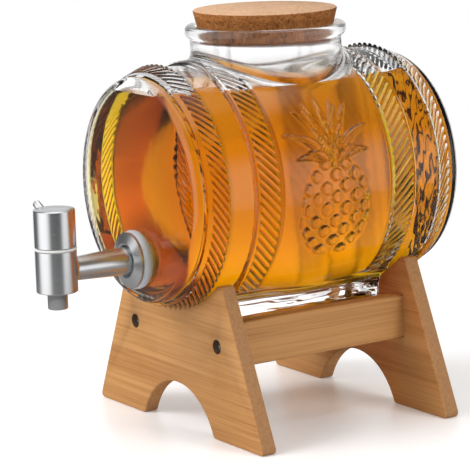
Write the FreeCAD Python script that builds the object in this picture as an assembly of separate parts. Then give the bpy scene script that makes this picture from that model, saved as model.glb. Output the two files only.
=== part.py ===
"""Glass barrel drink dispenser with a quarter-turn tap, a cork lid and a bamboo stand.

The barrel lies along Y, the tap is at the -Y end, the neck points up (+Z) and the floor is Z = 0.
The origin is at the bottom centre of the whole object's box. Lengths are in millimetres.
"""
import FreeCAD, Part
import os
from math import cos, pi, radians, sin, sqrt, tan

V = FreeCAD.Vector

# Driving sizes of the glass barrel
barrel_length = 196.0
barrel_axis_height = 152.0
end_face_radius = 70.0
end_corner_radius = 5.0
end_draft = 0.5
end_wall = 8.0
side_wall = 4.5
belly_crown = 3.0
belly_width = 84.0
waist_radius = 74.0
waist_width = 18.0
hoop_width = 18.0
hoop_rise = 2.6
outer_hoop_width = 13.0
rib_count = 84
rib_depth = 1.7
rib_slant = 11.0

# Neck, rim and glass foot of the barrel
neck_radius = 47.5
neck_wall = 4.2
neck_flare = 7.0
rim_top_height = 247.5
rim_bead = 7.5
rim_edge_radius = 2.5
rim_overhang = 3.0
foot_length = 120.0
foot_width = 76.0
foot_drop = 6.5
foot_corner_radius = 9.0
foot_recess = 2.0
foot_rim_width = 7.0
foot_recess_corner = 5.5

# Cork lid
cork_top_radius = 45.2
cork_height = 17.0
cork_proud = 9.5
cork_taper = 0.229
cork_edge = 0.8

# Bamboo stand
board_thickness = 10.0
board_gap = 128.0
board_foot_width = 195.0
horn_width = 110.0
horn_height = 97.0
arch_radius = 44.0
arch_height = 28.0
board_edge_radius = 1.0
foot_tip_radius = 3.0
horn_tip_radius = 1.6
rail_width = 10.0
rail_height = 28.0
rail_bottom_height = 45.2
rail_spacing = 96.6

# Wood screws
screw_shank_radius = 2.0
screw_head_radius = 3.9
screw_head_top_radius = 2.7
screw_head_height = 2.4
screw_head_edge = 1.4
screw_length = 32.0
screw_recess_radius = 4.5
screw_recess_depth = 5.0
screw_slot_width = 1.0
screw_slot_depth = 1.2
screw_point_length = 4.0

# Tap, outside
tap_radius = 12.7
tap_reach = 58.0
tap_hole_height = 110.0
tap_lower_height = 26.0
tap_below_inlet = 12.5
cap_height = 23.2
cap_ring_thickness = 1.5
cap_ring_overhang = 0.4
cap_edge = 0.5
spout_radius = 6.2
spout_length = 10.5
spout_bore_radius = 4.2
tube_radius_at_body = 7.3
tube_radius_at_flange = 8.6
flange_radius = 17.3
flange_rim = 1.5
flange_dish_depth = 2.5
flange_cone_depth = 3.6
flange_mouth_radius = 9.7
shank_radius = 7.8
shank_bore_radius = 4.5
shank_spigot_radius = 6.0
shank_spigot_length = 11.0
shank_tail = 2.0
outer_washer_radius = 18.3
outer_washer_thickness = 6.5
washer_bulge = 1.4
inner_washer_radius = 11.0
inner_washer_thickness = 3.0
nut_across_flats = 20.0
nut_thickness = 6.0

# Tap, inside
chamber_radius = 9.0
sleeve_wall = 1.9
plug_port_radius = 3.5
plug_top_wall = 2.7
plug_bottom_gap = 0.05
spout_thread_length = 4.0
seat_ring_thickness = 1.2
stem_radius = 3.0
tongue_thickness = 2.4
tongue_width = 11.9
tongue_depth = 2.2
seal_section = 1.9
seal_count = 2
bush_height = 2.5
top_wall = 0.8
stem_grip = 14.0
lever_radius = 2.5
lever_angle = 27.0
lever_reach = 10.5
lever_below_top = 4.1
lever_seat_depth = 5.0
lever_tip_round = 0.8
set_screw_radius = 1.5
set_screw_length = 8.0

# Steps that the glass curves are turned in
round_steps = 3
belly_steps = 8

# Clearances
cork_clearance = 0.3
cradle_clearance = 0.3
running_clearance = 0.05
hole_clearance = 0.4
thread_clearance = 0.05
cap_clearance = 0.1
overshoot = 1.0
tiny = 0.01

# Places worked out from the sizes
half_length = barrel_length / 2
belly_half = belly_width / 2
inner_hoop_end = belly_half + hoop_width
waist_end = inner_hoop_end + waist_width
outer_hoop_end = waist_end + outer_hoop_width
belly_edge_radius = waist_radius + hoop_rise / 2
belly_radius = belly_edge_radius + belly_crown
inner_half_length = half_length - end_wall
inner_belly_radius = belly_radius - side_wall
inner_end_radius = end_face_radius - side_wall
neck_bore_radius = neck_radius - neck_wall
rim_radius = neck_radius + rim_overhang
foot_bottom = barrel_axis_height - belly_edge_radius - foot_drop
cork_top_height = rim_top_height + cork_proud
cork_bottom_height = cork_top_height - cork_height
cork_bottom_radius = cork_top_radius - cork_taper * cork_height
board_inner_face = board_gap / 2
board_outer_face = board_inner_face + board_thickness
cradle_radius = waist_radius + cradle_clearance
rail_offset = rail_spacing / 2
screw_height = rail_bottom_height + rail_height / 2
screw_seat = -board_outer_face + screw_recess_depth
screw_tip = screw_seat + screw_length
screw_hole_radius = screw_shank_radius + thread_clearance
glass_front = -half_length
washer_front = glass_front - outer_washer_thickness
flange_floor = washer_front - flange_dish_depth
inner_washer_back = glass_front + end_wall + inner_washer_thickness
nut_back = inner_washer_back + nut_thickness
tap_axis = glass_front - tap_reach
body_bottom = tap_hole_height - tap_below_inlet
body_top = body_bottom + tap_lower_height
cap_bottom = body_top + cap_ring_thickness
cap_top = cap_bottom + cap_height
spout_bottom = body_bottom - spout_length
seat_bottom = body_bottom + spout_thread_length
plug_bottom = seat_bottom + seat_ring_thickness + plug_bottom_gap
plug_top = tap_hole_height + plug_port_radius + plug_top_wall
chamber_top = plug_top + cap_clearance
seal_bottom = chamber_top + top_wall
seal_radius = stem_radius + seal_section
bush_bottom = seal_bottom + seal_count * seal_section
sleeve_bore_radius = chamber_radius - sleeve_wall
plug_radius = sleeve_bore_radius - running_clearance
tap_front = tap_axis - tap_radius
centre_shift = -(tap_front + half_length) / 2


def polygon_wire(points):
    """Closed wire through corner points."""
    return Part.makePolygon(points + [points[0]])


def revolve(points, centre, axis):
    """Solid of revolution of a closed outline about an axis."""
    face = Part.Face(polygon_wire(points))
    return face.revolve(centre, axis, 360)


def upright_turned(points, y=0.0):
    """Solid turned about a vertical axis from (radius, height) corners."""
    outline = [V(r, y, z) for r, z in points]
    return revolve(outline, V(0, y, 0), V(0, 0, 1))


def lying_turned(points, z):
    """Solid turned about an axis along Y from (y, radius) corners."""
    outline = [V(r, y, z) for y, r in points]
    return revolve(outline, V(0, 0, z), V(0, 1, 0))


def along_y(radius, start, end, z, x=0.0):
    """Cylinder along Y between two places."""
    return Part.makeCylinder(radius, end - start, V(x, start, z), V(0, 1, 0))


def upright(radius, bottom, top, x=0.0, y=0.0):
    """Vertical cylinder between two heights."""
    return Part.makeCylinder(radius, top - bottom, V(x, y, bottom), V(0, 0, 1))


def both_ways(shape):
    """The shape and its mirror image across the middle of the barrel."""
    return [shape, shape.mirror(V(0, 0, 0), V(0, 1, 0))]


def lines_through(points):
    """Straight edges from point to point."""
    return [Part.makeLine(a, b) for a, b in zip(points, points[1:])]


def arc_points(start, middle, end, steps):
    """Points along an arc, so that the turned face is a row of cones."""
    return Part.Arc(start, middle, end).toShape().discretize(steps + 1)


def quarter_points(start, end, corner):
    """Points from start to end that round off a square corner."""
    centre = start + end - corner
    middle = centre + (corner - centre) * sin(pi / 4)
    return arc_points(start, middle, end, round_steps)


def flat_rims(shape):
    """Edges that lie level, such as the rims of an upright cylinder."""
    return [e for e in shape.Edges if e.BoundBox.ZLength < tiny]


def star_points(y, crest_radius, turn):
    """Corners of a ribbed ring, crest and valley by turns."""
    corners = []
    for k in range(2 * rib_count):
        angle = pi * k / rib_count + radians(turn)
        radius = crest_radius - rib_depth * (k % 2)
        corners.append(V(radius * cos(angle), y, barrel_axis_height + radius * sin(angle)))
    return corners


def ribbed_hoop(start, start_radius, end, end_radius):
    """Hoop whose slanted ribs run from one rim to the other on ruled faces."""
    first = star_points(start, start_radius, 0)
    last = star_points(end, end_radius, -rib_slant)
    faces = [Part.Face(polygon_wire(first)), Part.Face(polygon_wire(last))]
    for k in range(len(first)):
        following = (k + 1) % len(first)
        near = Part.makeLine(first[k], first[following])
        far = Part.makeLine(last[k], last[following])
        faces.append(Part.makeRuledSurface(near, far))
    shell = Part.makeShell(faces)
    shell.sewShape()
    solid = Part.Solid(Part.Shell(shell.Faces))
    if solid.Volume < 0:
        solid.reverse()
    return solid


def barrel_core():
    """Barrel body under the hoops: belly, waists and rounded ends."""
    hoop_floor = waist_radius - rib_depth / 2
    half = [
        V(belly_edge_radius, belly_half, 0),
        V(hoop_floor, belly_half, 0),
        V(hoop_floor, inner_hoop_end, 0),
        V(waist_radius, inner_hoop_end, 0),
        V(waist_radius, waist_end, 0),
        V(hoop_floor, waist_end, 0),
        V(end_face_radius - rib_depth / 2, outer_hoop_end, 0),
        V(end_face_radius + end_draft, outer_hoop_end, 0),
        V(end_face_radius, half_length - end_corner_radius, 0),
    ]
    edges = []
    for side in (1, -1):
        flank = [V(p.x, side * p.y, 0) for p in half]
        corner = V(end_face_radius, side * half_length, 0)
        end = V(end_face_radius - end_corner_radius, corner.y, 0)
        rounding = quarter_points(flank[-1], end, corner)
        edges += lines_through(flank[:-1] + rounding + [V(0, corner.y, 0)])
    edges.append(Part.makeLine(V(0, half_length, 0), V(0, -half_length, 0)))
    belly = arc_points(
        V(belly_edge_radius, -belly_half, 0),
        V(belly_radius, 0, 0),
        V(belly_edge_radius, belly_half, 0),
        belly_steps,
    )
    edges += lines_through(belly)
    face = Part.Face(Part.Wire(Part.__sortEdges__(edges)))
    core = face.revolve(V(0, 0, 0), V(0, 1, 0), 360)
    core.translate(V(0, 0, barrel_axis_height))
    return core


def barrel_hollow():
    """Space inside the barrel: straight in the belly, narrower towards the ends."""
    rounding = quarter_points(
        V(inner_end_radius, inner_half_length - end_corner_radius, 0),
        V(inner_end_radius - end_corner_radius, inner_half_length, 0),
        V(inner_end_radius, inner_half_length, 0),
    )
    half = [(belly_half, inner_belly_radius)]
    half += [(p.y, p.x) for p in rounding]
    half.append((inner_half_length, 0))
    other_half = [(-y, r) for y, r in reversed(half)]
    return lying_turned(other_half + half, barrel_axis_height)


def barrel_neck():
    """Neck with a beaded rim, flared where it grows out of the belly."""
    root = barrel_axis_height + sqrt(belly_radius ** 2 - neck_radius ** 2)
    deep = barrel_axis_height + inner_belly_radius / 2
    bead_bottom = rim_top_height - rim_bead
    flare_radius = neck_radius + neck_flare
    rim_corner = V(rim_radius, 0, rim_top_height)
    rim_inside = V(rim_radius - rim_edge_radius, 0, rim_top_height)
    rim_outside = V(rim_radius, 0, rim_top_height - rim_edge_radius)
    flare_top = V(neck_radius, 0, root + neck_flare)
    flare_edge = V(flare_radius, 0, root)
    outline = [V(0, 0, deep), V(0, 0, rim_top_height)]
    outline += quarter_points(rim_inside, rim_outside, rim_corner)
    outline += [V(rim_radius, 0, bead_bottom + rim_overhang), V(neck_radius, 0, bead_bottom)]
    outline += quarter_points(flare_top, flare_edge, V(neck_radius, 0, root))
    outline.append(V(flare_radius, 0, deep))
    return revolve(outline, V(0, 0, 0), V(0, 0, 1))


def rounded_block(length, width, radius, bottom, top):
    """Upright block with rounded vertical edges, centred on the origin."""
    block = Part.makeBox(width, length, top - bottom, V(-width / 2, -length / 2, bottom))
    uprights = [e for e in block.Edges if e.BoundBox.ZLength > tiny]
    return block.makeFillet(radius, uprights)


def barrel_foot():
    """Glass foot under the belly, with a shallow recess so that it stands on its rim."""
    block = rounded_block(foot_length, foot_width, foot_corner_radius, foot_bottom, barrel_axis_height)
    recess = rounded_block(
        foot_length - 2 * foot_rim_width,
        foot_width - 2 * foot_rim_width,
        foot_recess_corner,
        foot_bottom - overshoot,
        foot_bottom + foot_recess,
    )
    return block.cut(recess)


def glass_barrel():
    """Pressed glass barrel with four ribbed hoops, neck, rim, foot and tap hole."""
    crest = waist_radius + hoop_rise
    end_crest = end_face_radius + hoop_rise / 2
    belly_crest = belly_edge_radius + hoop_rise / 2
    outer_hoop = ribbed_hoop(-outer_hoop_end, end_crest, -waist_end, crest)
    inner_hoop = ribbed_hoop(-inner_hoop_end, crest, -belly_half, belly_crest)
    glass = barrel_core().fuse(both_ways(outer_hoop) + both_ways(inner_hoop))
    glass = glass.fuse([barrel_neck(), barrel_foot()])
    mouth = upright(neck_bore_radius, barrel_axis_height, rim_top_height + overshoot)
    tap_hole = along_y(shank_radius + hole_clearance, glass_front - overshoot, 0, tap_hole_height)
    return glass.cut([barrel_hollow(), mouth, tap_hole])


def cork_lid():
    """Tapered cork that wedges in the mouth."""
    outline = [
        (0, cork_bottom_height),
        (cork_bottom_radius - cork_edge, cork_bottom_height),
        (cork_bottom_radius, cork_bottom_height + cork_edge),
        (cork_top_radius, cork_top_height - cork_edge),
        (cork_top_radius - cork_edge, cork_top_height),
        (0, cork_top_height),
    ]
    return upright_turned(outline)


def board_panel():
    """Flat panel with straight sides, an arch between the feet and a cradle for the waist."""
    foot = board_foot_width / 2
    horn = horn_width / 2
    outline = [V(-foot, 0, 0), V(foot, 0, 0), V(horn, 0, horn_height), V(-horn, 0, horn_height)]
    panel = Part.Face(polygon_wire(outline)).extrude(V(0, board_thickness, 0))
    cradle = along_y(cradle_radius, -overshoot, board_thickness + overshoot, barrel_axis_height)
    arch = along_y(arch_radius, -overshoot, board_thickness + overshoot, arch_height - arch_radius)
    return panel.cut([cradle, arch])


def board(side):
    """One end board with rounded tips and edges, and a recessed hole for each screw."""
    cradle_x = sqrt(cradle_radius ** 2 - (barrel_axis_height - horn_height) ** 2)
    horn_tip = horn_width / 2 - cradle_x
    panel = board_panel()
    feet = [e for e in panel.Edges if e.BoundBox.YLength > tiny and e.BoundBox.ZMax < tiny]
    panel = panel.makeFillet(foot_tip_radius, feet)
    horns = [e for e in panel.Edges if e.BoundBox.YLength > tiny and e.BoundBox.ZMin > horn_height - tiny]
    panel = panel.makeFillet(min(horn_tip_radius, horn_tip / 3), horns)
    face_edges = [e for e in panel.Edges if e.BoundBox.YLength < tiny]
    panel = panel.makeFillet(board_edge_radius, face_edges)
    holes = []
    for x in (-rail_offset, rail_offset):
        holes.append(along_y(screw_recess_radius, -overshoot, screw_recess_depth, screw_height, x))
        holes.append(along_y(screw_hole_radius, 0, board_thickness + overshoot, screw_height, x))
    panel = panel.cut(holes)
    panel.translate(V(0, -board_outer_face, 0))
    if side > 0:
        panel = panel.mirror(V(0, 0, 0), V(0, 1, 0))
    return panel


def rail(side):
    """Rail between the boards, with a pilot hole for a screw in each end."""
    x = side * rail_offset
    low = V(x - rail_width / 2, -board_inner_face, rail_bottom_height)
    bar = Part.makeBox(rail_width, board_gap, rail_height, low)
    long_edges = [e for e in bar.Edges if e.BoundBox.YLength > tiny]
    bar = bar.makeFillet(board_edge_radius, long_edges)
    hole = along_y(
        screw_hole_radius,
        -board_inner_face - overshoot,
        screw_tip + screw_point_length / 2,
        screw_height,
        x,
    )
    return bar.cut(both_ways(hole))


def wood_screw(x):
    """Cross-head wood screw with a pointed end, set in the front board."""
    head_top = screw_seat - screw_head_height
    outline = [
        (head_top, 0),
        (head_top, screw_head_top_radius),
        (screw_seat - screw_head_edge, screw_head_radius),
        (screw_seat, screw_head_radius),
        (screw_seat, screw_shank_radius),
        (screw_tip - screw_point_length, screw_shank_radius),
        (screw_tip, 0),
    ]
    screw = lying_turned(outline, screw_height)
    screw.translate(V(x, 0, 0))
    slots = []
    for wide, tall in ((screw_head_radius, screw_slot_width), (screw_slot_width, screw_head_radius)):
        corner = V(x - wide / 2, head_top - overshoot, screw_height - tall / 2)
        slots.append(Part.makeBox(wide, overshoot + screw_slot_depth, tall, corner))
    return screw.cut(slots)


def stand_screws():
    """Four like screws, two in each board."""
    screws = []
    for x in (-rail_offset, rail_offset):
        screws += both_ways(wood_screw(x))
    return Part.makeCompound(screws)


def inlet_tube():
    """Tube from the tap body to the flange, thicker towards the flange."""
    outline = [
        (tap_axis, 0),
        (tap_axis, tube_radius_at_body),
        (tap_axis + tap_radius, tube_radius_at_body),
        (flange_floor - flange_cone_depth, tube_radius_at_flange),
        (flange_floor, tube_radius_at_flange),
        (flange_floor, 0),
    ]
    return lying_turned(outline, tap_hole_height)


def tap_body():
    """Lower tap body with the inlet tube, the plug chamber and the seal pocket."""
    shell = upright(tap_radius, body_bottom, body_top, y=tap_axis)
    body = shell.makeChamfer(cap_edge, flat_rims(shell)).fuse(inlet_tube())
    chamber = upright(chamber_radius, body_bottom - overshoot, chamber_top, y=tap_axis)
    stem_hole = upright(stem_radius + hole_clearance, chamber_top - overshoot, body_top, y=tap_axis)
    pocket = upright(seal_radius + running_clearance, seal_bottom, body_top + overshoot, y=tap_axis)
    waterway = along_y(shank_bore_radius, tap_axis, flange_floor, tap_hole_height)
    socket_bottom = flange_floor - shank_spigot_length - thread_clearance
    socket = along_y(
        shank_spigot_radius + thread_clearance,
        socket_bottom,
        flange_floor + overshoot,
        tap_hole_height,
    )
    return body.cut([chamber, stem_hole, pocket, waterway, socket])


def tap_spout():
    """Spout with a threaded head that closes the bottom of the body."""
    outline = [
        (spout_bore_radius, spout_bottom),
        (spout_radius - cap_edge, spout_bottom),
        (spout_radius, spout_bottom + cap_edge),
        (spout_radius, body_bottom),
        (chamber_radius - thread_clearance, body_bottom),
        (chamber_radius - thread_clearance, seat_bottom),
        (spout_bore_radius, seat_bottom),
    ]
    return upright_turned(outline, tap_axis)


def seat_ring():
    """Seat ring between the spout head and the plug."""
    outline = [
        (spout_bore_radius, seat_bottom),
        (sleeve_bore_radius - running_clearance, seat_bottom),
        (sleeve_bore_radius - running_clearance, seat_bottom + seat_ring_thickness),
        (spout_bore_radius, seat_bottom + seat_ring_thickness),
    ]
    return upright_turned(outline, tap_axis)


def valve_sleeve():
    """Liner that the plug turns in, with a window for the inlet."""
    outline = [
        (sleeve_bore_radius, seat_bottom),
        (chamber_radius - thread_clearance, seat_bottom),
        (chamber_radius - thread_clearance, chamber_top),
        (sleeve_bore_radius, chamber_top),
    ]
    tube = upright_turned(outline, tap_axis)
    window = along_y(shank_bore_radius, tap_axis, tap_axis + tap_radius, tap_hole_height)
    return tube.cut(window)


def valve_plug():
    """Turning plug: a side port meets a port down the middle, and a slot takes the stem."""
    plug = upright(plug_radius, plug_bottom, plug_top, y=tap_axis)
    side_port = along_y(plug_port_radius, tap_axis, tap_axis + tap_radius, tap_hole_height)
    drop = upright(plug_port_radius, plug_bottom - overshoot, tap_hole_height, y=tap_axis)
    width = tongue_thickness + 2 * running_clearance
    slot = Part.makeBox(
        width,
        2 * plug_radius,
        tongue_depth + overshoot,
        V(-width / 2, tap_axis - plug_radius, plug_top - tongue_depth),
    )
    return plug.cut([side_port, drop, slot])


def valve_stem():
    """Stem with a tongue at the plug and a plain end clamped in the cap."""
    top = cap_bottom + stem_grip
    rod = upright(stem_radius, plug_top, top, y=tap_axis)
    tongue_bottom = plug_top - tongue_depth + running_clearance
    blade = Part.makeBox(
        tongue_thickness,
        tongue_width,
        plug_top - tongue_bottom,
        V(-tongue_thickness / 2, tap_axis - tongue_width / 2, tongue_bottom),
    )
    disc = upright(tongue_width / 2, tongue_bottom, plug_top, y=tap_axis)
    return rod.fuse(blade.common(disc))


def stem_seals():
    """Two sealing rings round the stem."""
    rings = []
    ring_radius = stem_radius + seal_section / 2
    cord_radius = seal_section / 2 - running_clearance
    for k in range(seal_count):
        z = seal_bottom + seal_section * k + seal_section / 2
        rings.append(Part.makeTorus(ring_radius, cord_radius, V(0, tap_axis, z)))
    return Part.makeCompound(rings)


def stem_bush():
    """Bush over the seals that guides the stem."""
    outline = [
        (stem_radius + running_clearance, bush_bottom),
        (seal_radius, bush_bottom),
        (seal_radius, body_top),
        (stem_radius + running_clearance, body_top),
    ]
    return upright_turned(outline, tap_axis)


def cap_ring():
    """Pale bearing ring between the body and the turning cap."""
    outer = tap_radius + cap_ring_overhang
    outline = [
        (stem_radius + hole_clearance, body_top),
        (outer - cap_edge, body_top),
        (outer, body_top + cap_edge),
        (outer, cap_bottom - cap_clearance - cap_edge),
        (outer - cap_edge, cap_bottom - cap_clearance),
        (stem_radius + hole_clearance, cap_bottom - cap_clearance),
    ]
    return upright_turned(outline, tap_axis)


def lever_axis_point(reach):
    """Point on the lever's axis at a distance from the cap's wall."""
    angle = radians(lever_angle)
    x = -(tap_radius + reach * cos(angle))
    return V(x, tap_axis, cap_top - lever_below_top + reach * sin(angle))


def lever_rod(radius, start, end):
    """Round bar along the lever's axis."""
    a = lever_axis_point(start)
    b = lever_axis_point(end)
    return Part.makeCylinder(radius, (b - a).Length, a, b - a)


def tap_cap():
    """Turning cap: clamped on the stem, with a seat for the lever."""
    cap = upright(tap_radius, cap_bottom, cap_top, y=tap_axis)
    cap = cap.makeChamfer(cap_edge, flat_rims(cap))
    bore_top = cap_bottom + stem_grip + thread_clearance
    bore = upright(stem_radius + thread_clearance, cap_bottom - overshoot, bore_top, y=tap_axis)
    seat = lever_rod(lever_radius + thread_clearance, -lever_seat_depth, lever_reach)
    screw_hole = along_y(
        set_screw_radius + thread_clearance,
        tap_axis,
        tap_axis + tap_radius + overshoot,
        cap_bottom + stem_grip / 2,
    )
    return cap.cut([bore, seat, screw_hole])


def lever_pin():
    """Short inclined pin that the cap is turned by."""
    pin = lever_rod(lever_radius, thread_clearance - lever_seat_depth, lever_reach)
    tip = lever_axis_point(lever_reach)
    end_edges = [e for e in pin.Edges if (e.BoundBox.Center - tip).Length < lever_radius / 2]
    return pin.makeFillet(lever_tip_round, end_edges)


def cap_set_screw():
    """Set screw that clamps the cap on the stem, at the side facing the barrel."""
    start = tap_axis + stem_radius
    z = cap_bottom + stem_grip / 2
    screw = along_y(set_screw_radius, start, start + set_screw_length, z)
    socket_size = set_screw_radius
    corner = V(-socket_size / 2, start + set_screw_length / 2, z - socket_size / 2)
    return screw.cut(Part.makeBox(socket_size, set_screw_length, socket_size, corner))


def tap_flange():
    """Dished flange that the end of the inlet tube presses on the washer."""
    front = flange_floor - flange_cone_depth / 2
    outline = [
        (washer_front, shank_radius + running_clearance),
        (washer_front, flange_radius),
        (washer_front - flange_rim, flange_radius),
        (front, flange_mouth_radius),
        (flange_floor, flange_mouth_radius),
        (flange_floor, shank_radius + running_clearance),
    ]
    return lying_turned(outline, tap_hole_height)


def inlet_shank():
    """Threaded tail through the glass, with a spigot in the inlet tube."""
    end = nut_back + shank_tail
    outline = [
        (flange_floor - shank_spigot_length, shank_bore_radius),
        (flange_floor - shank_spigot_length, shank_spigot_radius),
        (flange_floor, shank_spigot_radius),
        (flange_floor, shank_radius),
        (end - cap_edge, shank_radius),
        (end, shank_radius - cap_edge),
        (end, shank_bore_radius),
    ]
    return lying_turned(outline, tap_hole_height)


def outer_washer():
    """Thick soft washer with a bulging rim, against the glass."""
    inner = shank_radius + running_clearance
    edge = outer_washer_radius - washer_bulge
    rim = Part.Arc(
        V(edge, washer_front, 0),
        V(outer_washer_radius, (washer_front + glass_front) / 2, 0),
        V(edge, glass_front, 0),
    )
    sides = lines_through([
        V(edge, glass_front, 0),
        V(inner, glass_front, 0),
        V(inner, washer_front, 0),
        V(edge, washer_front, 0),
    ])
    washer = Part.Face(Part.Wire([rim.toShape()] + sides)).revolve(V(0, 0, 0), V(0, 1, 0), 360)
    washer.translate(V(0, 0, tap_hole_height))
    return washer


def inner_washer():
    """Soft washer inside the barrel."""
    inner = shank_radius + running_clearance
    start = glass_front + end_wall
    outline = [
        (start, inner),
        (start, inner_washer_radius),
        (inner_washer_back, inner_washer_radius - cap_edge),
        (inner_washer_back, inner),
    ]
    return lying_turned(outline, tap_hole_height)


def lock_nut():
    """Hexagon nut that clamps the washers on the glass."""
    corner = nut_across_flats / 2 / cos(pi / 6)
    points = []
    for k in range(6):
        angle = pi * k / 3
        points.append(V(corner * cos(angle), inner_washer_back, tap_hole_height + corner * sin(angle)))
    nut = Part.Face(polygon_wire(points)).extrude(V(0, nut_thickness, 0))
    chamfer = corner - nut_across_flats / 2
    dome = lying_turned(
        [
            (inner_washer_back, 0),
            (inner_washer_back, nut_across_flats / 2),
            (inner_washer_back + chamfer * tan(pi / 6), corner),
            (nut_back - chamfer * tan(pi / 6), corner),
            (nut_back, nut_across_flats / 2),
            (nut_back, 0),
        ],
        tap_hole_height,
    )
    hole_start = inner_washer_back - overshoot
    hole = along_y(shank_radius + thread_clearance, hole_start, nut_back + overshoot, tap_hole_height)
    return nut.common(dome).cut(hole)


def save(name, shape):
    """Write one piece, moved so that the origin is at the bottom centre of the whole object."""
    placed = shape.copy()
    placed.translate(V(0, centre_shift, 0))
    placed.exportStep("parts/" + name + ".step")
    print(name, "solids", len(shape.Solids), "valid", shape.isValid(), "faces", len(shape.Faces))


def main():
    os.makedirs("parts", exist_ok=True)
    save("glass_barrel", glass_barrel())
    save("cork_lid", cork_lid())
    save("stand_board_front", board(-1))
    save("stand_board_rear", board(1))
    save("stand_rail_left", rail(-1))
    save("stand_rail_right", rail(1))
    save("stand_screws", stand_screws())
    save("tap_body", tap_body())
    save("tap_spout", tap_spout())
    save("tap_cap", tap_cap())
    save("cap_ring", cap_ring())
    save("cap_set_screw", cap_set_screw())
    save("lever_pin", lever_pin())
    save("valve_stem", valve_stem())
    save("valve_plug", valve_plug())
    save("valve_sleeve", valve_sleeve())
    save("seat_ring", seat_ring())
    save("stem_seals", stem_seals())
    save("stem_bush", stem_bush())
    save("tap_flange", tap_flange())
    save("inlet_shank", inlet_shank())
    save("outer_washer", outer_washer())
    save("inner_washer", inner_washer())
    save("lock_nut", lock_nut())


main()
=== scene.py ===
"""Looks of a glass barrel drink dispenser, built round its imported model.

The barrel lies along Y with the tap at the -Y end, and the floor is Z = 0. Lengths are in metres.
A place along the barrel counts from its middle.
"""

import math
from contextlib import contextmanager

import bmesh
import bpy
import numpy as np
from bpy.props import FloatProperty, FloatVectorProperty, IntProperty, PointerProperty
from mathutils import Matrix, Vector


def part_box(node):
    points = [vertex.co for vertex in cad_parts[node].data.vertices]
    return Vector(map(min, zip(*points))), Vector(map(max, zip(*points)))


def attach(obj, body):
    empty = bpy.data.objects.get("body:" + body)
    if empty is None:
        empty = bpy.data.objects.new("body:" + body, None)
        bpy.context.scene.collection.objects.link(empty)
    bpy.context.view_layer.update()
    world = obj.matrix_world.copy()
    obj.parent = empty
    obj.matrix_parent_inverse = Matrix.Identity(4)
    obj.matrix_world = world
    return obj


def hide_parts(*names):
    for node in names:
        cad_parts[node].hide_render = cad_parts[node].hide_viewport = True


bl_info = {
    "name": "Glass barrel drink dispenser",
    "version": (1, 0, 0),
    "blender": (4, 5, 0),
    "location": "3D View > Sidebar > Dispenser",
    "description": "Builds the glass, drink, tap, cork and stand of a barrel drink dispenser",
    "category": "Object",
}

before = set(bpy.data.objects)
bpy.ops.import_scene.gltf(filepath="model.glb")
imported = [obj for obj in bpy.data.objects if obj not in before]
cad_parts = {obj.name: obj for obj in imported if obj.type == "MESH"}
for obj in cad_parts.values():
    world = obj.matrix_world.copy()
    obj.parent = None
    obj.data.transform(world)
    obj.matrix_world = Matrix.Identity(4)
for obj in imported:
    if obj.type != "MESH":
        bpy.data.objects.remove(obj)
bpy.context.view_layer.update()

glass_low, glass_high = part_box("glass_barrel")
washer_low, washer_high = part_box("outer_washer")
washer_middle = (washer_low + washer_high) / 2

full_turn = 2 * math.pi
quarter_turn = math.pi / 2
white = (1.0, 1.0, 1.0)
black = (0.0, 0.0, 0.0)
# The sweeps of the neck and the foot end this far proud of the belly, and cut it cleanly there
sweep_step = 0.00004


def length(label, default, about):
    """A length that a user may change."""
    return FloatProperty(name=label, description=about, default=default, unit="LENGTH",
                         subtype="DISTANCE")


def share(label, default, about):
    """A number from 0 to 1 that a user may change."""
    return FloatProperty(name=label, description=about, default=default, min=0.0, max=1.0,
                         subtype="FACTOR")


def colour(label, default, about):
    """A colour that a user may change, in scene linear values."""
    return FloatVectorProperty(name=label, description=about, default=default, size=3,
                               subtype="COLOR", min=0.0, max=1.0)


def angle(label, degrees, about):
    """An angle that a user may change."""
    return FloatProperty(name=label, description=about, default=math.radians(degrees),
                         subtype="ANGLE", unit="ROTATION")


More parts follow.
